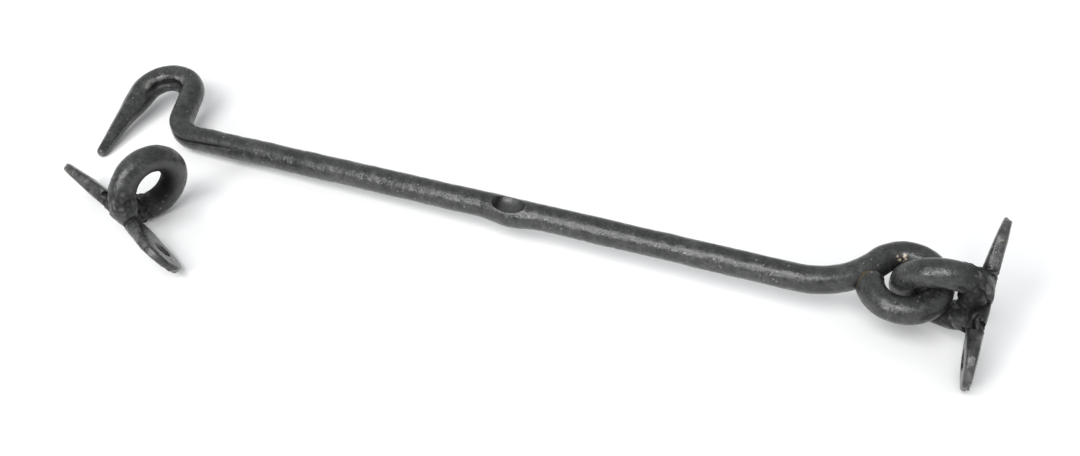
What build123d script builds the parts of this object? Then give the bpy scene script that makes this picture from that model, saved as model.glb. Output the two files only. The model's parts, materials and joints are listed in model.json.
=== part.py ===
from build123d import *
import os
from math import acos, asin, atan, cos, degrees, pi, radians, sin

os.makedirs("parts", exist_ok=True)

# Forged cabin hook set, lying on a table: hooked arm, the eye plate it is linked to, and the loose
# eye plate that the hook drops into. Row frame: +X along the shank from hook to eye, +Y across the
# table on the side of the hook's bow, +Z up, origin at the bottom centre of the set. Millimetres.

# ---- hooked arm: one round bar ----
BAR_R = 4.0
SHANK_LENGTH = 194.8        # straight run between the offset bend and the neck of the eye
SHANK_PITCH = 2.3           # degrees, the eye end sits higher than the hook end
ARM_ROLL = 13.0             # degrees, the bow's side of the arm sits higher
OFFSET_BEND_R = 10.0        # bend that carries the bar across to the hook
OFFSET_BEND_TURN = 76.5     # degrees
HOOK_RISE = 8.6             # straight run between the offset bend and the bow
BOW_R = 9.2                 # centreline radius of the hook's bow
BOW_TURN = 171.0            # degrees
POINT_LENGTH = 26.6         # tapered strand from the bow to the rounded point
POINT_R = 1.7
NECK_R = 24.0               # bend that brings the eye ring towards the shank's axis
RING_R = 9.1                # centreline radius of the eye ring
RING_OFFSET = 6.3           # ring centre, measured across from the shank's axis
RING_CLOSE = 30.0           # degrees of ring left out where the cut end butts against the neck

# ---- thumb dimple, punched in the top of the shank ----
DIMPLE_FROM_NECK = 85.5
DIMPLE_LENGTH = 11.4
DIMPLE_WIDTH = 6.8
DIMPLE_DEPTH = 1.9
BULGE_LENGTH = 20.0         # metal pushed out beside the dimple
BULGE_R = 4.6
BULGE_SHIFT = 0.5           # the bulge leans away from the bow's side

# ---- eye plates: one bar, one coil turn, two flattened tabs ----
WIRE_R = 4.1
COIL_R = 9.3                # centreline radius of the coil
COIL_HALF_PITCH = 4.2
ROOT_BEND_R = 4.6           # bend from the coil into each tab
ROOT_LIFT = 0.5             # the bend rises this much on its way into the coil
RUN_OUT = 0.8               # straight bar after the bend, before it is drawn out flat
CATCH_LENGTH = 61.0
LINKED_LENGTH = 48.0        # the linked plate has shorter tabs
TAB_WIDTH = 14.6
TAB_THICKNESS = 3.2
TAB_DRAW = 5.0              # the round bar is hammered flat over this length
TAB_DRAW_WIDTH = 9.4        # and is this wide when it is flat
TAB_ROOT_R = 3.4            # end radius of the flat where it leaves the bar
HOLE_R = 2.4
HOLE_FROM_TIP = 7.5

# ---- how the pieces lie ----
SHANK_END_Z = 5.79          # height of the shank's axis at the offset bend
COIL_FROM_RING = 9.1        # from the ring's centre to the linked coil's centre, along X
TABLE_GAP = 0.02            # keeps every piece just above the table
CATCH_X = 2.7               # catch plate's centre, from the shank's end at the offset bend
CATCH_Y = -43.89
CATCH_TURN = -25.9          # degrees, direction of the catch plate's tabs about Z
ORIGIN_X = 105.53           # shank's end at the offset bend, from the set's bottom centre
ORIGIN_Y = 15.6

# ---- derived ----
COIL_OUTER_R = COIL_R + WIRE_R
NECK_TURN = degrees(acos((NECK_R - RING_OFFSET) / (NECK_R + RING_R)))
RING_X = SHANK_LENGTH + (NECK_R + RING_R) * sin(radians(NECK_TURN))
ROOT_ANGLE = asin(ROOT_BEND_R / COIL_R)
TAB_END_R = TAB_WIDTH / 2
# a plate on its side stands on its tabs' lower edges and on the coil's rim
SIDE_TILT = 90.0 - 2.0 * degrees(atan(TAB_END_R / COIL_OUTER_R))

pitch = radians(SHANK_PITCH)
roll = radians(ARM_ROLL)
arm_frame = Plane(
    origin=(-ORIGIN_X, ORIGIN_Y, SHANK_END_Z + TABLE_GAP),
    x_dir=(cos(pitch), 0, sin(pitch)),
    z_dir=(-sin(pitch) * cos(roll), -sin(roll), cos(pitch) * cos(roll)),
)
ring_centre = arm_frame.from_local_coords(Vector(RING_X, RING_OFFSET, 0))

# the linked plate hangs on the ring at the ring's height and leans until one tab's tip is on the table
lean = asin((ring_centre.Z - TAB_END_R - TABLE_GAP) / (LINKED_LENGTH / 2 - TAB_END_R))
fixed_frame = Plane(
    origin=(
        ring_centre.X + COIL_FROM_RING + COIL_OUTER_R,
        ring_centre.Y,
        ring_centre.Z,
    ),
    x_dir=(0, sin(lean), -cos(lean)),
    z_dir=(0, cos(lean), sin(lean)),
)

turn = radians(CATCH_TURN)
tilt = radians(SIDE_TILT)
catch_frame = Plane(
    origin=(CATCH_X - ORIGIN_X, CATCH_Y + ORIGIN_Y, TAB_END_R * cos(tilt) + TABLE_GAP),
    x_dir=(-sin(turn) * sin(tilt), cos(turn) * sin(tilt), -cos(tilt)),
    z_dir=(cos(turn), sin(turn), 0),
)

# ---- the arm, flat in its own plane: x along the shank, y towards the bow's side ----
with BuildPart() as arm_flat:
    with BuildLine() as arm_path:
        offset_bend = JernArc((0, 0), (-1, 0), OFFSET_BEND_R, -OFFSET_BEND_TURN)
        rise = PolarLine(offset_bend @ 1, HOOK_RISE, 180 - OFFSET_BEND_TURN)
        bow = JernArc(rise @ 1, rise % 1, BOW_R, BOW_TURN)
        shank = Line((0, 0), (SHANK_LENGTH, 0))
        neck = JernArc(shank @ 1, (1, 0), NECK_R, NECK_TURN)
        ring = JernArc(neck @ 1, neck % 1, RING_R, RING_CLOSE - 360)
    point_frame = Plane(origin=bow @ 1, z_dir=bow % 1)
    with BuildSketch(Plane(origin=bow @ 1, z_dir=bow % 1)):
        Circle(BAR_R)
    sweep(path=arm_path.wire())
    with Locations(point_frame.location):
        Cone(BAR_R, POINT_R, POINT_LENGTH, align=(Align.CENTER, Align.CENTER, Align.MIN))
    with Locations(point_frame.location * Location((0, 0, POINT_LENGTH))):
        Sphere(POINT_R)
    # swelling beside the dimple: a shallow barrel that leans to one side
    dimple_x = SHANK_LENGTH - DIMPLE_FROM_NECK
    barrel_end = BULGE_LENGTH / 2
    barrel_low = BAR_R - BULGE_SHIFT - 0.4
    with BuildSketch(Plane.XY):
        with BuildLine():
            side = ThreePointArc(
                (dimple_x - barrel_end, barrel_low - BULGE_SHIFT),
                (dimple_x, BULGE_R - BULGE_SHIFT),
                (dimple_x + barrel_end, barrel_low - BULGE_SHIFT),
            )
            Polyline(
                side @ 1,
                (dimple_x + barrel_end, -BULGE_SHIFT),
                (dimple_x - barrel_end, -BULGE_SHIFT),
                side @ 0,
            )
        make_face()
    revolve(axis=Axis((0, -BULGE_SHIFT, 0), (1, 0, 0)))
    # the punch leaves an oval hollow in the top
    punch_r = (DIMPLE_WIDTH**2 / 4 + DIMPLE_DEPTH**2) / (2 * DIMPLE_DEPTH)
    punch_z = BULGE_R - DIMPLE_DEPTH + punch_r
    punch_long = DIMPLE_LENGTH / 2 / sin(acos((punch_r - DIMPLE_DEPTH) / punch_r))
    with BuildSketch(Plane.XZ):
        with Locations((dimple_x, punch_z)):
            Ellipse(punch_long, punch_r)
            Rectangle(
                2.5 * punch_long,
                2.5 * punch_r,
                align=(Align.CENTER, Align.MIN),
                mode=Mode.SUBTRACT,
            )
    revolve(axis=Axis((0, 0, punch_z), (1, 0, 0)), mode=Mode.SUBTRACT)

# ---- eye plates in their own frame: x across the tabs, y outwards from the wall, z along the tabs ----
def make_eye_plate(length):
    """One bar wound into a coil, its two ends drawn out into flat tabs with a screw hole each."""
    coil_start = ROOT_ANGLE + radians(15)
    coil_angles = [coil_start + (2 * pi - 2 * coil_start) * i / 12 for i in range(13)]
    coil_points = [
        (
            COIL_R * sin(angle),
            WIRE_R + COIL_R * (1 - cos(angle)),
            COIL_HALF_PITCH * (angle / pi - 1),
        )
        for angle in coil_angles
    ]
    root_z = COIL_HALF_PITCH + ROOT_BEND_R
    bend_in = ROOT_BEND_R * (1 - cos(pi / 4))
    tab_root_z = root_z + RUN_OUT
    tip_centre = length / 2 - TAB_END_R
    flat_z = tab_root_z + TAB_DRAW

    with BuildPart() as plate:
        with BuildLine() as wire:
            coil = Spline(
                (0, WIRE_R, -tab_root_z),
                (0, WIRE_R, -root_z),
                (bend_in, WIRE_R + ROOT_LIFT, -COIL_HALF_PITCH - bend_in),
                *coil_points,
                (-bend_in, WIRE_R + ROOT_LIFT, COIL_HALF_PITCH + bend_in),
                (0, WIRE_R, root_z),
                (0, WIRE_R, tab_root_z),
            )
        with BuildSketch(Plane(coil @ 0, x_dir=(1, 0, 0), z_dir=coil % 0)):
            Circle(WIRE_R)
        sweep(path=wire.wire())
        for end in (-1, 1):
            # the bar is drawn out flat between the root bend and the tab
            root = 0 if end < 0 else 1
            with BuildSketch(Plane(coil @ root, x_dir=(1, 0, 0), z_dir=coil % root)):
                Circle(WIRE_R)
            with BuildSketch(Plane((0, TAB_THICKNESS / 2, end * flat_z))):
                Ellipse(TAB_DRAW_WIDTH / 2, TAB_THICKNESS / 2 - 0.05)
            loft()
            with BuildSketch(Plane.ZX):
                with Locations((end * tip_centre, 0)):
                    Circle(TAB_END_R)
                with Locations((end * (tab_root_z + TAB_ROOT_R), 0)):
                    Circle(TAB_ROOT_R)
                make_hull()
            extrude(amount=TAB_THICKNESS)
            hole_z = length / 2 - HOLE_FROM_TIP
            with Locations(Plane((0, 0, end * hole_z), z_dir=(0, 1, 0)).location):
                Cylinder(HOLE_R, 20, mode=Mode.SUBTRACT)
    return plate.part


linked_shape = make_eye_plate(LINKED_LENGTH)
with BuildPart() as fixed_eye_plate:
    add(linked_shape.moved(fixed_frame.location))
fixed_eye_plate.part.label = "fixed_eye_plate"
export_step(fixed_eye_plate.part, "parts/fixed_eye_plate.step")

with BuildPart() as hook_arm:
    add(arm_flat.part.moved(arm_frame.location))
hook_arm.part.label = "hook_arm"
export_step(hook_arm.part, "parts/hook_arm.step")

catch_shape = make_eye_plate(CATCH_LENGTH)
with BuildPart() as catch_eye_plate:
    add(catch_shape.moved(catch_frame.location))
catch_eye_plate.part.label = "catch_eye_plate"
export_step(catch_eye_plate.part, "parts/catch_eye_plate.step")
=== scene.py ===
import json
from math import acos, asin, cos, degrees, exp, pi, radians, sin, sqrt

import bpy
from mathutils import Matrix, Vector, noise


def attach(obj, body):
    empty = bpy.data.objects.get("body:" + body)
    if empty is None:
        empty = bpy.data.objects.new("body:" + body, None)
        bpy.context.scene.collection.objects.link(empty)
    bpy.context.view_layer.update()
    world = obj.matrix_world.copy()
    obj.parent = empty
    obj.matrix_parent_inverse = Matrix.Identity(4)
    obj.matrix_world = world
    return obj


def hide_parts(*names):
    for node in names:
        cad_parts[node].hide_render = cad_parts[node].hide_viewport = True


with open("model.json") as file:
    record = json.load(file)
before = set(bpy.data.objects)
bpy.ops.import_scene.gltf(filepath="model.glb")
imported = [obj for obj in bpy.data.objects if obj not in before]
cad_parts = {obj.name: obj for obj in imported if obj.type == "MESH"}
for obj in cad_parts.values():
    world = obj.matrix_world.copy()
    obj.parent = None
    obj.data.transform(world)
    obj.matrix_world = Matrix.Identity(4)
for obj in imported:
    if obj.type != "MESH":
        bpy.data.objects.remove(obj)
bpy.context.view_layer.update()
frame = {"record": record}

# A forged cabin hook set on a pale table. Lengths are millimetres until a mesh is made, then metres.
MM = 0.001

# ---- hooked arm ----
BAR_R = 3.94
SHANK_START = Vector((-105.53, 15.6, 5.81))
SHANK_PITCH = 2.3           # degrees
ARM_ROLL = 13.0             # degrees
SHANK_LENGTH = 194.8
OFFSET_BEND_R = 10.0
OFFSET_BEND_TURN = 76.5     # degrees
HOOK_RISE = 8.6
BOW_R = 9.2
BOW_TURN = 171.0            # degrees
POINT_LENGTH = 26.6
POINT_R = 1.7
NECK_R = 24.0
RING_R = 9.1
RING_OFFSET = 6.3
RING_CLOSE = 38.0           # degrees
RUB_TURN = 38.0             # degrees round the ring to where the coil has rubbed it
SHANK_BOW = 0.3             # the middle of the shank stands this much higher
TIP_LEAST_R = 0.4           # the hook's tip ends in a flat of this radius
CUT_ROUND = 0.7             # the ring's cut end is rounded over this length
CUT_DROP = 0.45             # and by this much
POINT_FLATS = 0.55          # how plainly eight hammered flats show on the point
SHANK_FLATS = 0.12          # and on the shank and the ring
FLATS_TURN = 0.2            # radians
SEAM_DEPTH = 0.5
FACET_DEPTH = 0.35
ARM_SIDES = 96
ARM_STEP = 0.45

# distances back from the shank's start: the end of the hook's rise, the end of its bow, and its tip
RISE_END = OFFSET_BEND_R * radians(OFFSET_BEND_TURN) + HOOK_RISE
BOW_END = RISE_END + BOW_R * radians(BOW_TURN)
TIP_BACK = BOW_END + POINT_LENGTH + POINT_R

# ---- thumb dimple ----
DIMPLE_X = SHANK_LENGTH - 84.3
DIMPLE_LENGTH = 11.4
DIMPLE_WIDTH = 7.2
DIMPLE_DEPTH = 1.95
DIMPLE_ROLL = 7.0           # degrees towards the near side
DIMPLE_LIFT = 0.25          # the metal round the mark stands this much above the bar
BULGE_LENGTH = 20.0
BULGE_RISE = 1.08
BULGE_LEAN = 40.0           # degrees round the shank to the side that hardly swells

# ---- eye plates ----
WIRE_R = 4.02
PLATE_AXIS_R = 4.1          # the coil's centreline starts this far from the wall
COIL_R = 9.3
COIL_HALF_PITCH = 4.2
COIL_START = 15.0           # further degrees of the coil given over to each root bend
COIL_CONTROLS = 28          # spline controls round the coil
ROOT_BEND_R = 3.6
ROOT_DRAW = 8.0             # the bar is drawn down to the tab over this length
ROOT_LIFT = 0.5
CORNER_FILL = 0.8           # how square the outside of a root bend is
PINCH_FROM_MIDDLE = 7.6     # the roots are hammered most at this distance from the plate's middle
PINCH_WIDTH = 3.2
CATCH_LENGTH = 61.0
LINKED_LENGTH = 48.0
TAB_START = COIL_HALF_PITCH + ROOT_BEND_R   # a tab's root, measured from the plate's middle
TAB_WIDTH = 14.4
TAB_ROOT_THICKNESS = 4.6
TAB_TIP_THICKNESS = 2.3
TAB_THICKNESS = 3.2         # the CAD's even thickness, from which the wall is found
TAB_OFF_WALL = 0.05         # gap between the wall and the tabs' backs
TAB_INSET = 0.12            # keeps the hammered tips inside the CAD box
TAB_TIP_RINGS = 22
TAB_TIP_LEAST_SQUARE = 0.3  # square of the least half width, at the tip
TAB_TIP_ROUND = 0.8         # the tip's faces are rounded over this length
TAB_TIP_THINNING = 0.35     # and lose this share of their thickness
TAB_TAPER_POWER = 1.3
ROUND = 2.0                 # squareness of a round section
ROOT_SQUARING = 0.6         # what a root adds to it
TAB_SQUARING = 2.8          # and what a tab adds to that
HOLE_R = 2.4
HOLE_FROM_TIP = 7.5
HOLE_SIDES = 48
HOLE_BURST = 0.25           # the punch has spread each edge of the tab by this much
HOLE_BURST_LENGTH = 2.6
WEB_FROM_WALL = 4.9         # middle of the hammered-up throat between the two strands
WEB_HALF_WIDTH = 8.6
WEB_HALF_HEIGHT = 3.7
WEB_HALF_DEPTH = 3.0
WEB_RINGS = 24
PLATE_SIDES = 72
PLATE_STEP = 0.4

# ---- hammer marks: broad depth and size, fine depth and size, and how far they are sunk ----
ARM_MARKS = (0.13, 5.5, 0.06, 1.8, 0.08)
PLATE_MARKS = (0.14, 4.6, 0.08, 1.7, 0.10)

BURR_SIZE = 1.6
BURR_DEPTH = 0.5
CRUMPLE_SIZE = 1.5
CRUMPLE_DEPTH = 0.55
CRUMPLE_LEVEL = 0.28        # noise below this is a dent, above it a crest
CHIP_SIZE = 2.3
PATCH_SIZE = 3.1
WEB_LUMP_SIZE = 2.0
WEB_LUMP_SHARE = 0.07
WEB_MOTTLE_SIZE = 1.3
WEB_MOTTLE = 0.4

# ---- how strongly each spot is worn bright or painted light as a highlight, or painted dark as shade ----
LAP_WEAR = 0.8
# the dimple's lower lip is painted light as a highlight
LIP_HIGHLIGHT = 0.45
FACET_WEAR = 0.6
# the flat end of the hook's tip is painted light as a highlight
NOSE_HIGHLIGHT = 0.8
PATCH_WEAR = 0.35
TAB_EDGE_WEAR = 0.8
CHIP_WEAR = 0.8
CRUMPLE_WEAR = 4
# how dark each crease, join, dimple wall, coil inside, pinched root and throat is painted as shade
CREASE_SHADE = 0.9
JOIN_SHADE = 0.8
DIMPLE_WALL_SHADE = 0.9
COIL_INSIDE_SHADE = 0.8
PINCH_SHADE = 0.3
CRUMPLE_DENT_SHADE = 3.0
WEB_SHADE = 0.66
BURR_RUST = 0.8

# ---- steel: noise in lumps for each metre, linear colours, and bump depths in metres ----
CLOUD_SCALE = 70
MOTTLE_SCALE = 420
GRAIN_SCALE = 1500
SPECK_SCALE = 520
SPECK_PATCH_SCALE = 120
FLECK_SCALE = 1050
SCALE_DARK = (0.013, 0.0135, 0.014, 1)
SCALE_LIGHT = (0.046, 0.047, 0.047, 1)
CLOUD_DARK = (0.50, 0.50, 0.51, 1)
CLOUD_LIGHT = (1.25, 1.24, 1.22, 1)
# light specks painted into the colour as glints
GLINT_COLOUR = (0.22, 0.22, 0.21, 1)
# colour of worn bright steel, also used for the painted highlights on the dimple's lip and the tip's end
WEAR_AND_HIGHLIGHT_COLOUR = (0.24, 0.235, 0.225, 1)
# near-black painted shade for creases, hollows, throats and the insides of the ring and coils
PAINTED_SHADE_COLOUR = (0.004, 0.004, 0.004, 1)
RUST_COLOUR = (0.105, 0.085, 0.052, 1)
BRASS_COLOUR = (0.44, 0.36, 0.27, 1)
GLOSS_ROUGHNESS = (0.16, 0.38)
# roughness of the painted shade
PAINTED_SHADE_ROUGHNESS = 0.85
STEEL_SPECULAR = 0.55
PIT_DEPTH = 0.00020
FINE_PIT_DEPTH = 0.00011

# ---- stage ----
TABLE_HALF = 3.0            # metres
TABLE_COLOUR = (0.90, 0.90, 0.90, 1)
ROOM_COLOUR = (0.97, 0.985, 1.0, 1)
ROOM_STRENGTH = 0.64
CAMERA_LENS = 41.67
CAMERA_SENSOR = 36
CAMERA_PLACE = Vector((0.12169, -0.2429, 0.2417))
CAMERA_FORWARD = Vector((-0.2942, 0.7073, -0.6428))
CAMERA_RIGHT = Vector((0.9233, 0.3841, 0))


def smooth_step(low, high, value):
    """0 below low, 1 above high, and a soft ramp between them."""
    t = min(1.0, max(0.0, (value - low) / (high - low)))
    return t * t * (3 - 2 * t)


def hump(value, middle, width):
    """A bell that is 1 at middle."""
    return exp(-(((value - middle) / width) ** 2))


def angle_hump(angle, middle, width):
    """A bell round a section. The angle is in radians, middle and width in degrees."""
    gap = (degrees(angle) - middle + 180) % 360 - 180
    return exp(-((gap / width) ** 2))


def rough(point, size, seed=0.0):
    """Smooth noise from -1 to 1 whose lumps are about size wide."""
    return noise.noise(Vector((point.x / size + seed, point.y / size, point.z / size)))


def hammer_marks(point, marks, seed):
    """Broad and fine hammer marks over a surface."""
    broad, broad_size, fine, fine_size, sunk = marks
    return broad * rough(point, broad_size, seed) + fine * rough(point, fine_size, seed + 4) - sunk


# ---------------------------------------------------------------- sweeping a bar
def walk(start, heading, moves, step):
    """Points along straight runs and turns in a plane: ("run", length) or ("turn", radius, degrees)."""
    points = [Vector((start[0], start[1], 0.0))]
    direction = radians(heading)
    for move in moves:
        if move[0] == "run":
            count = max(2, round(move[1] / step))
            unit = Vector((cos(direction), sin(direction), 0.0))
            origin = points[-1].copy()
            points += [origin + unit * (move[1] * (i + 1) / count) for i in range(count)]
        else:
            turned = radians(move[2])
            side = 1 if turned > 0 else -1
            count = max(2, round(move[1] * abs(turned) / step))
            left = Vector((-sin(direction), cos(direction), 0.0)) * side
            centre = points[-1] + left * move[1]
            for i in range(count):
                now = direction + turned * (i + 1) / count
                points.append(centre - Vector((-sin(now), cos(now), 0.0)) * side * move[1])
            direction += turned
    return points


def arc_lengths(points):
    """Distance of every point from the first, along the line."""
    total = [0.0]
    for a, b in zip(points, points[1:]):
        total.append(total[-1] + (b - a).length)
    return total


def tangents(points):
    """Unit direction of travel at every point."""
    ahead = points[1:] + points[-1:]
    behind = points[:1] + points[:-1]
    return [(a - b).normalized() for a, b in zip(ahead, behind)]


def skin(name, rings, tints):
    """A closed tube through rings of points in millimetres.

    tints maps an attribute's name to a value for each point, ring after ring. The steel reads an
    attribute that isn't there as 0.
    """
    sides = len(rings[0])
    corners = [point * MM for ring in rings for point in ring]
    faces = []
    for i in range(len(rings) - 1):
        for k in range(sides):
            after = (k + 1) % sides
            faces.append(
                (i * sides + k, i * sides + after, (i + 1) * sides + after, (i + 1) * sides + k)
            )
    for first, flip in ((0, True), ((len(rings) - 1) * sides, False)):
        ring = corners[first : first + sides]
        middle = len(corners)
        corners.append(sum(ring, Vector()) / sides)
        for k in range(sides):
            pair = (first + k, first + (k + 1) % sides)
            faces.append((pair[1], pair[0], middle) if flip else (pair[0], pair[1], middle))
    mesh = bpy.data.meshes.new(name)
    mesh.from_pydata(corners, [], faces)
    for label, values in tints.items():
        layer = mesh.attributes.new(label, "FLOAT", "POINT")
        layer.data.foreach_set("value", values + [values[0], values[-1]])
    mesh.validate()
    mesh.shade_smooth()
    piece = bpy.data.objects.new(name, mesh)
    bpy.context.scene.collection.objects.link(piece)
    return piece


# ---------------------------------------------------------------- the arm
def arm_points():
    """The arm's centreline from the hook's tip to the ring's cut end, flat in the arm's own plane."""
    hook = walk(
        (0, 0),
        180,
        [
            ("turn", OFFSET_BEND_R, -OFFSET_BEND_TURN),
            ("run", HOOK_RISE),
            ("turn", BOW_R, BOW_TURN),
            ("run", POINT_LENGTH),
            ("run", POINT_R * 0.6),
            ("run", POINT_R * 0.4 - 0.06),
        ],
        ARM_STEP,
    )
    neck_turn = degrees(acos((NECK_R - RING_OFFSET) / (NECK_R + RING_R)))
    before_dimple = DIMPLE_X - BULGE_LENGTH / 2
    body = walk((0, 0), 0, [("run", before_dimple)], ARM_STEP)
    body += walk((before_dimple, 0), 0, [("run", BULGE_LENGTH)], ARM_STEP / 2)[1:]
    rest = [
        ("run", SHANK_LENGTH - before_dimple - BULGE_LENGTH),
        ("turn", NECK_R, neck_turn),
        ("turn", RING_R, RING_CLOSE - 360),
    ]
    body += walk((before_dimple + BULGE_LENGTH, 0), 0, rest, ARM_STEP)[1:]
    return hook, body


def lap_ridge(back, angle, place):
    """Metal lapped over on the inside of the bow: a hammered crest, a crease under it and a lip below.

    Gives its height, how bright its crest is and how darkly its crease is painted as shade.
    """
    begun = smooth_step(RISE_END + 2, RISE_END + 7, back)
    along = begun * (1 - smooth_step(BOW_END - 5, BOW_END + 5, back))
    lip_along = begun * (1 - smooth_step(BOW_END + 2, BOW_END + 15, back))
    if lip_along <= 0:
        return 0.0, 0.0, 0.0
    beat = 0.8 + 0.9 * rough(place, size=2.2, seed=3.0)
    drift = 16 * rough(place, size=4.5, seed=9.0)
    crest = 0.50 * beat * angle_hump(angle, middle=130 + drift, width=15)
    crease_depth = 0.95 + 0.5 * rough(place, size=1.8, seed=31.0)
    crease = crease_depth * angle_hump(angle, middle=156 + drift, width=11)
    lip = 1.2 * angle_hump(angle, middle=199, width=30)
    fold = 0.5 * hump(back, middle=RISE_END + 4.5, width=1.1) * angle_hump(angle, middle=140, width=34)
    shine = along * beat * angle_hump(angle, middle=136 + drift, width=15)
    dark = along * angle_hump(angle, middle=160 + drift, width=11) + 0.8 * fold
    return along * (crest - crease) + lip_along * lip - fold, shine, dark


def seam(distance, angle):
    """A forging seam that runs out of the offset bend on the near side of the shank. Its groove is also
    painted dark as shade.
    """
    along = smooth_step(-9, -3, distance) * (1 - smooth_step(9, 19, distance))
    return along * angle_hump(angle, middle=150 - 0.8 * distance, width=7)


def bend_facet(distance, angle):
    """A flat that the hammer left on the offset bend."""
    return angle_hump(angle, middle=172, width=16) * hump(distance, middle=-9.0, width=4.0)


def octagon(angle, depth):
    """Eight hammered flats round the bar: what they leave of the radius at an angle."""
    wedge = pi / 4
    off = (angle % wedge) - wedge / 2
    return 1 - depth * (1 - cos(wedge / 2) / cos(off))


def punch_dimple(along, spot):
    """Sinks a surface point into the oval punch mark.

    Gives how near the point is to the mark's lip, and 1 if it is inside the mark.
    """
    turn = radians(DIMPLE_ROLL)
    across = spot.y * cos(turn) + spot.z * sin(turn)
    height = spot.z * cos(turn) - spot.y * sin(turn)
    radius = (DIMPLE_WIDTH**2 / 4 + DIMPLE_DEPTH**2) / (2 * DIMPLE_DEPTH)
    floor = BAR_R + DIMPLE_LIFT - DIMPLE_DEPTH
    half_long = DIMPLE_LENGTH / 2 / sin(acos((radius - DIMPLE_DEPTH) / radius))
    inside = 1 - (along / half_long) ** 2 - (across / radius) ** 2
    if inside <= 0 or height < 0:
        return 0.0, 0.0
    bowl = floor + radius * (1 - sqrt(inside))
    lip = hump(height - bowl, middle=-0.12, width=0.32)
    sunk = height > bowl
    height = bowl if sunk else height + 0.1 * hump(height - bowl, middle=-0.1, width=0.3)
    spot.y = across * cos(turn) - height * sin(turn)
    spot.z = across * sin(turn) + height * cos(turn)
    return lip, 1.0 if sunk else 0.0


def arm_axes():
    """The arm's own axes: x along the shank, z square to the plane of the hook and the ring."""
    pitch = radians(SHANK_PITCH)
    roll = radians(ARM_ROLL)
    x_dir = Vector((cos(pitch), 0, sin(pitch)))
    z_dir = Vector((-sin(pitch) * cos(roll), -sin(roll), cos(pitch) * cos(roll)))
    return Matrix((x_dir, z_dir.cross(x_dir), z_dir)).transposed()


def arm_radius(back, nose, to_cut):
    """The bar's radius: it tapers to a round-nosed point, and the ring's cut end is rounded."""
    radius = BAR_R
    if back > BOW_END:
        radius += (POINT_R - BAR_R) * min(1.0, (back - BOW_END) / POINT_LENGTH)
    if nose > 0:
        radius = max(TIP_LEAST_R, sqrt(max(0.0, POINT_R**2 - nose**2)))
    if to_cut < CUT_ROUND:
        radius -= CUT_DROP * (1 - sqrt(max(0.0, 1 - (1 - to_cut / CUT_ROUND) ** 2)))
    return radius


def bulge(off_dimple, angle):
    """How far the shank swells round the dimple: most on the side opposite BULGE_LEAN."""
    if abs(off_dimple) >= BULGE_LENGTH / 2:
        return 0.0
    swell = cos(pi * off_dimple / BULGE_LENGTH) ** 2
    return BULGE_RISE * swell * (0.5 - 0.5 * cos(angle - radians(BULGE_LEAN)))


def arm_painted_shade(distance, angle, off_dimple, sunk):
    """Painted shade along the neck and round the inside of the ring, and painted shadow on the dimple's end
    walls.
    """
    shaded_inside = angle_hump(angle, middle=192, width=42)
    shaded_inside *= smooth_step(SHANK_LENGTH + 12, SHANK_LENGTH + 28, distance)
    wall = hump(off_dimple, middle=-DIMPLE_LENGTH * 0.33, width=1.5)
    wall += 0.5 * hump(off_dimple, middle=DIMPLE_LENGTH * 0.42, width=0.9)
    return shaded_inside + DIMPLE_WALL_SHADE * sunk * wall


def make_arm():
    hook, body = arm_points()
    points = hook[:0:-1] + body
    lengths = arc_lengths(points)
    shank_start = lengths[len(hook) - 1]
    place = arm_axes()
    up = Vector((0, 0, 1))
    rings, wear_and_highlight, painted_shade, brass, rust = [], [], [], [], []
    for point, direction, length in zip(points, tangents(points), lengths):
        distance = length - shank_start
        back = -distance
        nose = back - (TIP_BACK - POINT_R)
        left = up.cross(direction)
        radius = arm_radius(back, nose, lengths[-1] - length)
        flats = POINT_FLATS * smooth_step(RISE_END + 14, BOW_END + 6, back)
        flats += SHANK_FLATS * (1 - smooth_step(-4, 10, back))
        fade = smooth_step(0.0, POINT_R, TIP_BACK - back)
        on_shank = 0 < distance < SHANK_LENGTH
        lifted = SHANK_BOW * sin(pi * distance / SHANK_LENGTH) if on_shank else 0.0
        off_dimple = distance - DIMPLE_X
        rubbed = coil_rub(length, lengths[-1])
        ring = []
        for k in range(ARM_SIDES):
            angle = 2 * pi * k / ARM_SIDES
            out = left * cos(angle) + up * sin(angle)
            spot = point + out * radius
            hammer = hammer_marks(spot, ARM_MARKS, 1.0)
            ridge, shine, crease = lap_ridge(back, angle, spot)
            furrow = seam(distance, angle)
            facet = bend_facet(distance, angle)
            here = radius * octagon(angle + FLATS_TURN, flats) + bulge(off_dimple, angle)
            here += (hammer + ridge) * fade - SEAM_DEPTH * furrow - FACET_DEPTH * facet
            spot = point + out * here
            lip, sunk = 0.0, 0.0
            if abs(off_dimple) < DIMPLE_LENGTH * 0.75:
                lip, sunk = punch_dimple(off_dimple, spot)
            ring.append(SHANK_START + place @ (spot + up * lifted))
            patch = PATCH_WEAR * max(0.0, rough(spot, PATCH_SIZE, seed=12.0))
            # the lower side of the dimple's lip is painted light as a highlight
            near_lip = lip * smooth_step(-0.5, 1.5, -spot.y)
            lightened = LAP_WEAR * shine + LIP_HIGHLIGHT * near_lip + FACET_WEAR * facet
            # painted highlight on the tip's flat end
            lightened += NOSE_HIGHLIGHT * hump(nose, middle=POINT_R, width=0.5)
            wear_and_highlight.append(min(1.0, lightened + patch * (shine + 0.3)))
            join = join_rust_and_shade(spot, distance)
            # painted shade in the seam's groove, under the lap's crease and along the join
            dark = furrow + CREASE_SHADE * crease + JOIN_SHADE * join
            painted_shade.append(min(1.0, dark + arm_painted_shade(distance, angle, off_dimple, sunk)))
            brass.append(rubbed * angle_hump(angle, middle=134, width=18))
            rust.append(join)
        rings.append(ring)
    return skin("forged_arm", rings, {"wear_and_highlight": wear_and_highlight, "painted_shade": painted_shade, "brass": brass, "rust": rust})


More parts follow.
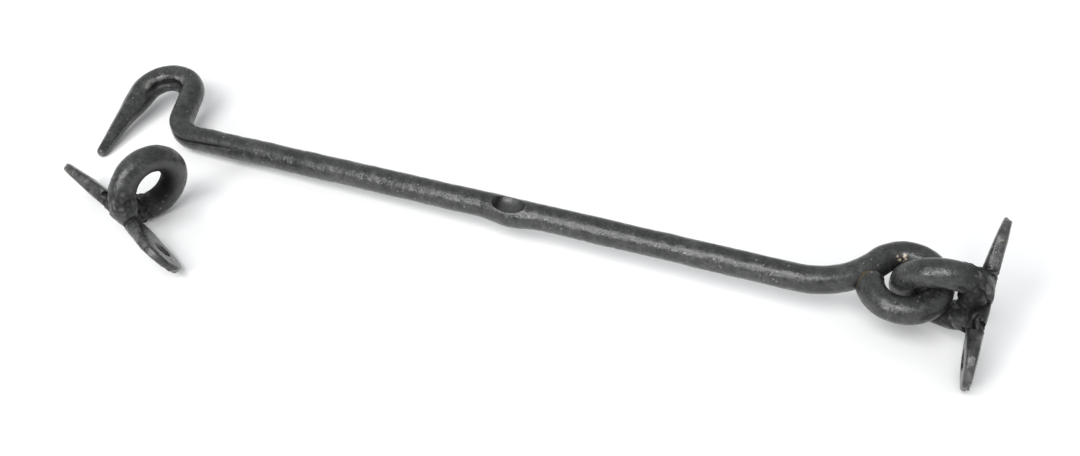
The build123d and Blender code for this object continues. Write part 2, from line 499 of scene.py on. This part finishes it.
def join_rust_and_shade(spot, distance):
    """Where the ring's cut end lies against the neck: 1 on the line in which they meet. The line is stained
    with rust and also painted dark as shade.
    """
    if distance < SHANK_LENGTH + NECK_R + RING_R * 4:
        return 0.0
    from_centre = sqrt((spot.x - SHANK_LENGTH) ** 2 + (spot.y - NECK_R) ** 2)
    from_neck = sqrt((from_centre - NECK_R) ** 2 + spot.z**2)
    return hump(from_neck, middle=BAR_R + 0.2, width=0.55)


def coil_rub(length, total):
    """How far the coil has rubbed the ring here: only a short stretch of it."""
    near = hump(length, middle=total - RING_R * radians(360 - RING_CLOSE - RUB_TURN), width=2.2)
    return near if near >= 0.02 else 0.0


# ---------------------------------------------------------------- the eye plates
def plate_frame(prefix):
    """Origin and axes of a plate from its two screw holes.

    x runs across the tabs, y off the wall and z along the tabs.
    """
    mounts = {mount["name"]: mount for mount in frame["record"]["mounts"]}
    first = Vector(mounts[prefix + "_screw_a"]["pos_m"]) / MM
    second = Vector(mounts[prefix + "_screw_b"]["pos_m"]) / MM
    along = (second - first).normalized()
    off_wall = Vector(mounts[prefix + "_screw_a"]["axis"]).normalized()
    across = off_wall.cross(along)
    origin = (first + second) / 2 - off_wall * TAB_THICKNESS / 2
    return origin, Matrix((across, off_wall, along)).transposed()


def spline_through(controls, step):
    """Dense points on a smooth curve through the controls (Catmull-Rom)."""
    padded = [controls[0] * 2 - controls[1]] + controls + [controls[-1] * 2 - controls[-2]]
    points = [controls[0].copy()]
    for a, b, c, d in zip(padded, padded[1:], padded[2:], padded[3:]):
        count = max(1, round((c - b).length / step))
        for i in range(count):
            t = (i + 1) / count
            points.append(
                0.5
                * (
                    2 * b
                    + (c - a) * t
                    + (2 * a - 5 * b + 4 * c - d) * t**2
                    + (3 * b - a - 3 * c + d) * t**3
                )
            )
    return points


def coil_points():
    """The round part of a plate's bar: root bend, one coil turn, root bend."""
    coil_start = asin(ROOT_BEND_R / COIL_R) + radians(COIL_START)
    into = ROOT_BEND_R * (1 - cos(pi / 4))
    controls = [
        Vector((0, PLATE_AXIS_R, -TAB_START)),
        Vector((into, PLATE_AXIS_R + ROOT_LIFT, -COIL_HALF_PITCH - into)),
    ]
    for i in range(COIL_CONTROLS + 1):
        angle = coil_start + (2 * pi - 2 * coil_start) * i / COIL_CONTROLS
        controls.append(
            Vector(
                (
                    COIL_R * sin(angle),
                    PLATE_AXIS_R + COIL_R * (1 - cos(angle)),
                    COIL_HALF_PITCH * (angle / pi - 1),
                )
            )
        )
    controls.append(Vector((-into, PLATE_AXIS_R + ROOT_LIFT, COIL_HALF_PITCH + into)))
    controls.append(Vector((0, PLATE_AXIS_R, TAB_START)))
    return spline_through(controls, PLATE_STEP)


def tab_half_width(from_centre, length):
    """Half the tab's width at a distance from the plate's centre: it widens to the hole and ends round."""
    end_r = TAB_WIDTH / 2
    tip_centre = length / 2 - end_r
    if from_centre > tip_centre:
        return sqrt(max(TAB_TIP_LEAST_SQUARE, end_r**2 - (from_centre - tip_centre) ** 2))
    grown = smooth_step(TAB_START, tip_centre + 0.5, from_centre)
    burst = HOLE_BURST * hump(from_centre, middle=length / 2 - HOLE_FROM_TIP, width=HOLE_BURST_LENGTH)
    return WIRE_R + (end_r - HOLE_BURST - WIRE_R) * grown + burst


def tab_half_thickness(from_centre, length):
    """Half the tab's thickness, which falls steadily from the root to a rounded tip."""
    gone = (from_centre - TAB_START) / (length / 2 - TAB_START)
    thinned = TAB_TIP_THICKNESS - TAB_ROOT_THICKNESS
    thickness = TAB_ROOT_THICKNESS + thinned * gone**TAB_TAPER_POWER
    at_tip = smooth_step(length / 2 - TAB_TIP_ROUND, length / 2, from_centre)
    return thickness / 2 * (1 - TAB_TIP_THINNING * at_tip)


def square_corner(spot, share):
    """Fills out the outside of a root bend, which the hammer leaves nearly square. share is 1 at the bend."""
    down = PLATE_AXIS_R + ROOT_BEND_R - spot.y
    inward = TAB_START - abs(spot.z)
    if down <= 0 or inward <= 0 or share <= 0:
        return
    reach = sqrt(down**2 + inward**2)
    grow = (reach / max(down, inward) - 1) * smooth_step(ROOT_BEND_R, ROOT_BEND_R + WIRE_R, reach)
    grow *= CORNER_FILL * share
    spot.y -= down * grow
    spot.z += inward * grow * (1 if spot.z < 0 else -1)


def tab_stations(length, side):
    """The stations of one tab from its root to its tip. side is -1 or 1."""
    end_r = TAB_WIDTH / 2
    run = length / 2 - TAB_START - end_r
    count = round(run / PLATE_STEP)
    places = [TAB_START + run * i / count for i in range(1, count + 1)]
    places += [
        length / 2 - end_r + end_r * sin(pi / 2 * i / TAB_TIP_RINGS)
        for i in range(1, TAB_TIP_RINGS + 1)
    ]
    stations = []
    for place in places:
        half = tab_half_thickness(place, length)
        centre = Vector((0, half + TAB_OFF_WALL, side * (place - TAB_INSET)))
        square = ROUND + ROOT_SQUARING + TAB_SQUARING * smooth_step(TAB_START, TAB_START + 5, place)
        width = tab_half_width(place, length)
        stations.append((centre, Vector((0, 1, 0)), width, half, square, place))
    return stations


def coil_stations():
    """The stations of the coil and its two root bends."""
    points = coil_points()
    travelled = arc_lengths(points)
    wall_dir = Vector((0, 1, 0))
    stations = []
    for point, gone in zip(points, travelled):
        from_tab = min(gone, travelled[-1] - gone)
        drawn = 1 - smooth_step(0.0, ROOT_DRAW, from_tab)
        inward = Vector((-point.x, PLATE_AXIS_R + COIL_R - point.y, 0))
        height = smooth_step(0.0, 5.0, point.y - PLATE_AXIS_R)
        inward = (wall_dir * (1 - height) + inward.normalized() * height).normalized()
        half = WIRE_R + (TAB_ROOT_THICKNESS / 2 - WIRE_R) * drawn
        stations.append((point, inward, WIRE_R, half, ROUND + ROOT_SQUARING * drawn, -from_tab))
    return stations


def plate_stations(length):
    """Sections along the whole bar, from one tab's tip to the other's.

    Each has its centre, the way its face points, half width, half thickness, squareness and place. The
    face points off the wall on a tab, and to the coil's middle in the coil. The place is the distance
    from the plate's middle on a tab, and minus the distance from the nearer tab in the coil.
    """
    return tab_stations(length, -1)[::-1] + coil_stations() + tab_stations(length, 1)


def make_plate(name, prefix, length, seed):
    origin, place = plate_frame(prefix)
    stations = plate_stations(length)
    directions = tangents([station[0] for station in stations])
    hole = length / 2 - HOLE_FROM_TIP
    rings, wear_and_highlight, painted_shade, rust = [], [], [], []
    for station, direction in zip(stations, directions):
        point, off_wall, half_width, half_thickness, square, reach = station
        across = off_wall.cross(direction).normalized()
        outward = direction.cross(across).normalized()
        power = 2 / square
        in_coil = reach <= 0
        if in_coil:
            point = point - outward * (WIRE_R - half_thickness)
        from_root = (point - Vector((0, PLATE_AXIS_R, 0))).length
        pinch = hump(from_root, middle=PINCH_FROM_MIDDLE, width=PINCH_WIDTH)
        bend_share = 1 - smooth_step(5.0, 9.0, -reach) if in_coil else 1.0
        flat = 0.0 if in_coil else smooth_step(8.0, 14.0, reach)
        inner_share = smooth_step(9.0, 16.0, -reach)
        burr = 0.0 if in_coil else hump(reach, middle=hole, width=HOLE_BURST_LENGTH)
        ring = []
        for k in range(PLATE_SIDES):
            angle = 2 * pi * k / PLATE_SIDES
            c, s = cos(angle), sin(angle)
            x = half_width * abs(c) ** power * (1 if c > 0 else -1)
            y = half_thickness * abs(s) ** power * (1 if s > 0 else -1)
            out = across * x + outward * y
            size = out.length
            spot = point + out
            hammer = hammer_marks(spot, PLATE_MARKS, seed)
            hammer += burr * abs(c) ** 3 * BURR_DEPTH * max(0.0, rough(spot, BURR_SIZE, seed + 6))
            crumple = pinch * CRUMPLE_DEPTH * (abs(rough(spot, CRUMPLE_SIZE, seed + 8)) - CRUMPLE_LEVEL)
            if size > 0:
                spot = point + out * ((size + hammer + crumple) / size)
            square_corner(spot, bend_share)
            spot.y = max(spot.y, 0.0)
            ring.append(origin + place @ spot)
            corner = hump(abs(c), middle=1.0, width=0.22) * flat
            back_edge = hump(abs(c), middle=0.74, width=0.12) * flat if s < 0 else 0.0
            chips = max(0.0, rough(spot, CHIP_SIZE, seed + 2))
            inner = inner_share * smooth_step(-0.1, 0.8, s)
            lightened = TAB_EDGE_WEAR * back_edge + corner * (0.05 + CHIP_WEAR * chips)
            wear_and_highlight.append(min(1.0, lightened + pinch * max(0.0, crumple) * CRUMPLE_WEAR))
            # painted shade at the pinched roots, deepest in the dents, and on the inside of the coil
            dark = pinch * (PINCH_SHADE + CRUMPLE_DENT_SHADE * max(0.0, -crumple))
            painted_shade.append(min(1.0, dark + COIL_INSIDE_SHADE * inner))
            stain = max(0.0, rough(spot, BURR_SIZE, seed + 6))
            rust.append(min(1.0, burr * corner * stain * BURR_RUST))
        rings.append(ring)
    piece = skin(name, rings, {"wear_and_highlight": wear_and_highlight, "painted_shade": painted_shade, "rust": rust})
    for side in (-1, 1):
        punch_hole(piece, origin + place @ Vector((0, TAB_THICKNESS / 2, side * hole)), place)
    return piece


def make_web(name, prefix, seed):
    """The throat where a plate's two strands are hammered together beside the wall: a lump that fills it,
    painted dark as shade.
    """
    origin, place = plate_frame(prefix)
    rings, painted_shade = [], []
    for i in range(WEB_RINGS + 1):
        height = -cos(pi * i / WEB_RINGS)
        spread = max(0.03, sqrt(max(0.0, 1 - height * height)))
        ring = []
        for k in range(PLATE_SIDES):
            angle = 2 * pi * k / PLATE_SIDES
            spot = Vector(
                (
                    WEB_HALF_WIDTH * spread * cos(angle),
                    WEB_FROM_WALL + WEB_HALF_HEIGHT * height,
                    -WEB_HALF_DEPTH * spread * sin(angle),
                )
            )
            lumpy = 1 + WEB_LUMP_SHARE * rough(spot, WEB_LUMP_SIZE, seed)
            ring.append(origin + place @ (spot * lumpy))
            painted_shade.append(WEB_SHADE + WEB_MOTTLE * rough(spot, WEB_MOTTLE_SIZE, seed + 3))
        rings.append(ring)
    return skin(name, rings, {"painted_shade": painted_shade})


def punch_hole(piece, centre, place):
    """Cuts a screw hole whose outer rim is dished a little."""
    profile = (
        (-6.0, HOLE_R),
        (-0.2, HOLE_R),
        (1.0, HOLE_R + 0.12),
        (1.9, HOLE_R + 0.75),
        (6.0, HOLE_R + 3.5),
    )
    corners, faces = [], []
    for height, radius in profile:
        for k in range(HOLE_SIDES):
            angle = 2 * pi * k / HOLE_SIDES
            local = Vector((radius * cos(angle), height, radius * sin(angle)))
            corners.append((centre + place @ local) * MM)
    for i in range(len(profile) - 1):
        low, high = i * HOLE_SIDES, (i + 1) * HOLE_SIDES
        for k in range(HOLE_SIDES):
            after = (k + 1) % HOLE_SIDES
            faces.append((low + k, high + k, high + after, low + after))
    faces.append(tuple(range(HOLE_SIDES)))
    faces.append(tuple(reversed(range(len(corners) - HOLE_SIDES, len(corners)))))
    mesh = bpy.data.meshes.new("punch")
    mesh.from_pydata(corners, [], faces)
    mesh.validate()
    punch = bpy.data.objects.new("punch", mesh)
    bpy.context.scene.collection.objects.link(punch)
    cut = piece.modifiers.new("hole", "BOOLEAN")
    cut.operation = "DIFFERENCE"
    cut.solver = "EXACT"
    cut.object = punch
    bpy.context.view_layer.update()
    graph = bpy.context.evaluated_depsgraph_get()
    bored = bpy.data.meshes.new_from_object(piece.evaluated_get(graph))
    piece.modifiers.clear()
    piece.data = bored
    bored.name = piece.name
    bpy.data.objects.remove(punch)


# ---------------------------------------------------------------- materials
def node(tree, kind, **settings):
    made = tree.nodes.new(kind)
    for key, value in settings.items():
        setattr(made, key, value)
    return made


def grey(value):
    return (value, value, value, 1)


def feed(tree, value, socket):
    """Links another socket into this one, or sets a plain value on it."""
    if isinstance(value, (tuple, float)):
        socket.default_value = value
    else:
        tree.links.new(value, socket)


def noise_at(tree, coordinates, scale, detail, seed):
    """A noise whose scale is in lumps per metre."""
    move = node(tree, "ShaderNodeMapping")
    move.inputs["Location"].default_value = (seed, seed * 0.7, seed * 1.3)
    tree.links.new(coordinates, move.inputs["Vector"])
    made = node(tree, "ShaderNodeTexNoise")
    made.inputs["Scale"].default_value = scale
    made.inputs["Detail"].default_value = detail
    made.inputs["Roughness"].default_value = 0.6
    tree.links.new(move.outputs["Vector"], made.inputs["Vector"])
    return made.outputs["Fac"]


def ramp(tree, source, low, high, first=grey(0), last=grey(1)):
    """Goes from the first colour at low to the last at high."""
    made = node(tree, "ShaderNodeValToRGB")
    made.color_ramp.elements[0].position = low
    made.color_ramp.elements[1].position = high
    made.color_ramp.elements[0].color = first
    made.color_ramp.elements[1].color = last
    tree.links.new(source, made.inputs["Fac"])
    return made.outputs["Color"]


def dots(tree, coordinates, scale, low, high):
    """Round dots, 1 inside low and 0 outside high. The scale is in dots per metre."""
    cells = node(tree, "ShaderNodeTexVoronoi", feature="F1")
    cells.inputs["Scale"].default_value = scale
    tree.links.new(coordinates, cells.inputs["Vector"])
    return ramp(tree, cells.outputs["Distance"], low, high, grey(1), grey(0))


def pitted(tree, height, strength, depth):
    """A bump node for pits of this depth in metres."""
    made = node(tree, "ShaderNodeBump")
    made.inputs["Strength"].default_value = strength
    made.inputs["Distance"].default_value = depth
    tree.links.new(height, made.inputs["Height"])
    return made


def blend_colours(tree, factor, under, over, mode="MIX"):
    made = node(tree, "ShaderNodeMix", data_type="RGBA", blend_type=mode)
    feed(tree, factor, made.inputs[0])
    feed(tree, under, made.inputs[6])
    feed(tree, over, made.inputs[7])
    return made.outputs[2]


def times(tree, first, second):
    made = node(tree, "ShaderNodeMath", operation="MULTIPLY", use_clamp=True)
    feed(tree, first, made.inputs[0])
    feed(tree, second, made.inputs[1])
    return made.outputs[0]


def attribute(tree, name):
    return node(tree, "ShaderNodeAttribute", attribute_name=name).outputs["Fac"]


def blackened_steel(name, seed):
    """Fire-scaled, waxed steel: mottled charcoal with pits, light specks painted as glints, light worn
    crests, painted highlights, and painted shade in creases and hollows.
    """
    material = bpy.data.materials.new(name)
    material.use_nodes = True
    tree = material.node_tree
    shader = tree.nodes["Principled BSDF"]
    place = node(tree, "ShaderNodeTexCoord").outputs["Object"]
    wear_and_highlight, painted_shade, brass, rust = [attribute(tree, kind) for kind in ("wear_and_highlight", "painted_shade", "brass", "rust")]
    cloud = noise_at(tree, place, CLOUD_SCALE, 4, seed)
    mottle = noise_at(tree, place, MOTTLE_SCALE, 5, seed + 2)
    grain = noise_at(tree, place, GRAIN_SCALE, 3, seed + 5)
    speck_patch = noise_at(tree, place, SPECK_PATCH_SCALE, 2, seed + 9)

    colour = ramp(tree, mottle, 0.30, 0.72, SCALE_DARK, SCALE_LIGHT)
    broad = ramp(tree, cloud, 0.32, 0.70, CLOUD_DARK, CLOUD_LIGHT)
    colour = blend_colours(tree, 1.0, colour, broad, "MULTIPLY")
    fine = ramp(tree, grain, 0.30, 0.70, grey(0.62), grey(1.40))
    colour = blend_colours(tree, 1.0, colour, fine, "MULTIPLY")
    # painted glints: small light specks in patches
    glint = times(tree, dots(tree, place, SPECK_SCALE, 0.10, 0.17), ramp(tree, speck_patch, 0.50, 0.58))
    colour = blend_colours(tree, times(tree, glint, 0.7), colour, GLINT_COLOUR)
    # worn bright steel, together with painted highlights on the dimple's lower lip and the tip's end
    lightened = times(tree, wear_and_highlight, ramp(tree, mottle, 0.35, 0.62))
    colour = blend_colours(tree, lightened, colour, WEAR_AND_HIGHLIGHT_COLOUR)
    # painted shade: creases, hollows, throats and the insides of the ring and coils are painted near-black
    colour = blend_colours(tree, times(tree, painted_shade, 0.92), colour, PAINTED_SHADE_COLOUR)
    stained = times(tree, rust, ramp(tree, mottle, 0.30, 0.50))
    colour = blend_colours(tree, stained, colour, RUST_COLOUR)
    fleck = times(tree, dots(tree, place, FLECK_SCALE, 0.30, 0.46), ramp(tree, brass, 0.25, 0.6))
    colour = blend_colours(tree, fleck, colour, BRASS_COLOUR)
    tree.links.new(colour, shader.inputs["Base Color"])

    gloss = ramp(tree, mottle, 0.30, 0.75, grey(GLOSS_ROUGHNESS[0]), grey(GLOSS_ROUGHNESS[1]))
    # the painted shade is rough, and metallic over its near-black colour, so it loses its sheen as well
    gloss = blend_colours(tree, times(tree, painted_shade, 0.9), gloss, grey(PAINTED_SHADE_ROUGHNESS))
    tree.links.new(gloss, shader.inputs["Roughness"])
    tree.links.new(times(tree, painted_shade, 0.85), shader.inputs["Metallic"])
    shader.inputs["Specular IOR Level"].default_value = STEEL_SPECULAR

    pits = pitted(tree, mottle, 0.8, PIT_DEPTH)
    fine_pits = pitted(tree, grain, 0.9, FINE_PIT_DEPTH)
    tree.links.new(pits.outputs["Normal"], fine_pits.inputs["Normal"])
    tree.links.new(fine_pits.outputs["Normal"], shader.inputs["Normal"])
    return material


def table_material():
    material = bpy.data.materials.new("white_table")
    material.use_nodes = True
    shader = material.node_tree.nodes["Principled BSDF"]
    shader.inputs["Base Color"].default_value = TABLE_COLOUR
    shader.inputs["Roughness"].default_value = 0.9
    shader.inputs["Specular IOR Level"].default_value = 0.1
    return material


# ---------------------------------------------------------------- stage, light and camera
def make_floor():
    half = TABLE_HALF
    mesh = bpy.data.meshes.new("table_top")
    mesh.from_pydata(
        [(-half, -half, 0), (half, -half, 0), (half, half, 0), (-half, half, 0)], [], [(0, 1, 2, 3)]
    )
    mesh.materials.append(table_material())
    floor = bpy.data.objects.new("table_top", mesh)
    bpy.context.scene.collection.objects.link(floor)


def softbox(name, place, width, depth, watts):
    """A rectangular light that faces the origin. Lengths are metres."""
    data = bpy.data.lights.new(name, "AREA")
    data.shape = "RECTANGLE"
    data.size = width
    data.size_y = depth
    data.energy = watts
    light = bpy.data.objects.new(name, data)
    bpy.context.scene.collection.objects.link(light)
    light.location = place
    light.rotation_euler = (-Vector(place)).to_track_quat("-Z", "Y").to_euler()


def make_light():
    world = bpy.data.worlds.new("pale_room")
    world.use_nodes = True
    background = world.node_tree.nodes["Background"]
    background.inputs["Color"].default_value = ROOM_COLOUR
    background.inputs["Strength"].default_value = ROOM_STRENGTH
    bpy.context.scene.world = world
    softbox("main_softbox", place=(-0.1, -0.75, 1.05), width=1.1, depth=0.5, watts=13.5)
    softbox("front_softbox", place=(-0.35, -1.1, 0.55), width=0.30, depth=0.14, watts=5.5)


def make_camera():
    data = bpy.data.cameras.new("camera")
    data.lens = CAMERA_LENS
    data.sensor_width = CAMERA_SENSOR
    camera = bpy.data.objects.new("camera", data)
    bpy.context.scene.collection.objects.link(camera)
    forward = CAMERA_FORWARD.normalized()
    right = CAMERA_RIGHT.normalized()
    placed = Matrix((right, right.cross(forward), -forward)).transposed().to_4x4()
    placed.translation = CAMERA_PLACE
    camera.matrix_world = placed
    bpy.context.scene.camera = camera


make_camera()
make_floor()
make_light()

arm = make_arm()
arm.data.materials.append(blackened_steel("blackened_arm_steel", 1.0))
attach(arm, "arm")
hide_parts("hook_arm")

linked = make_plate("forged_linked_plate", "fixed", LINKED_LENGTH, 21.0)
linked.data.materials.append(blackened_steel("blackened_linked_steel", 4.0))
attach(linked, "fixed_plate")
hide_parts("fixed_eye_plate")

for web_name, web_prefix, web_body in (
    ("linked_plate_throat", "fixed", "fixed_plate"),
    ("catch_plate_throat", "catch", "catch_plate"),
):
    web = make_web(web_name, web_prefix, 33.0)
    web.data.materials.append(blackened_steel(web_name + "_steel", 9.0))
    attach(web, web_body)

catch = make_plate("forged_catch_plate", "catch", CATCH_LENGTH, 47.0)
catch.data.materials.append(blackened_steel("blackened_catch_steel", 7.0))
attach(catch, "catch_plate")
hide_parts("catch_eye_plate")

bpy.context.scene.view_settings.view_transform = "Standard"
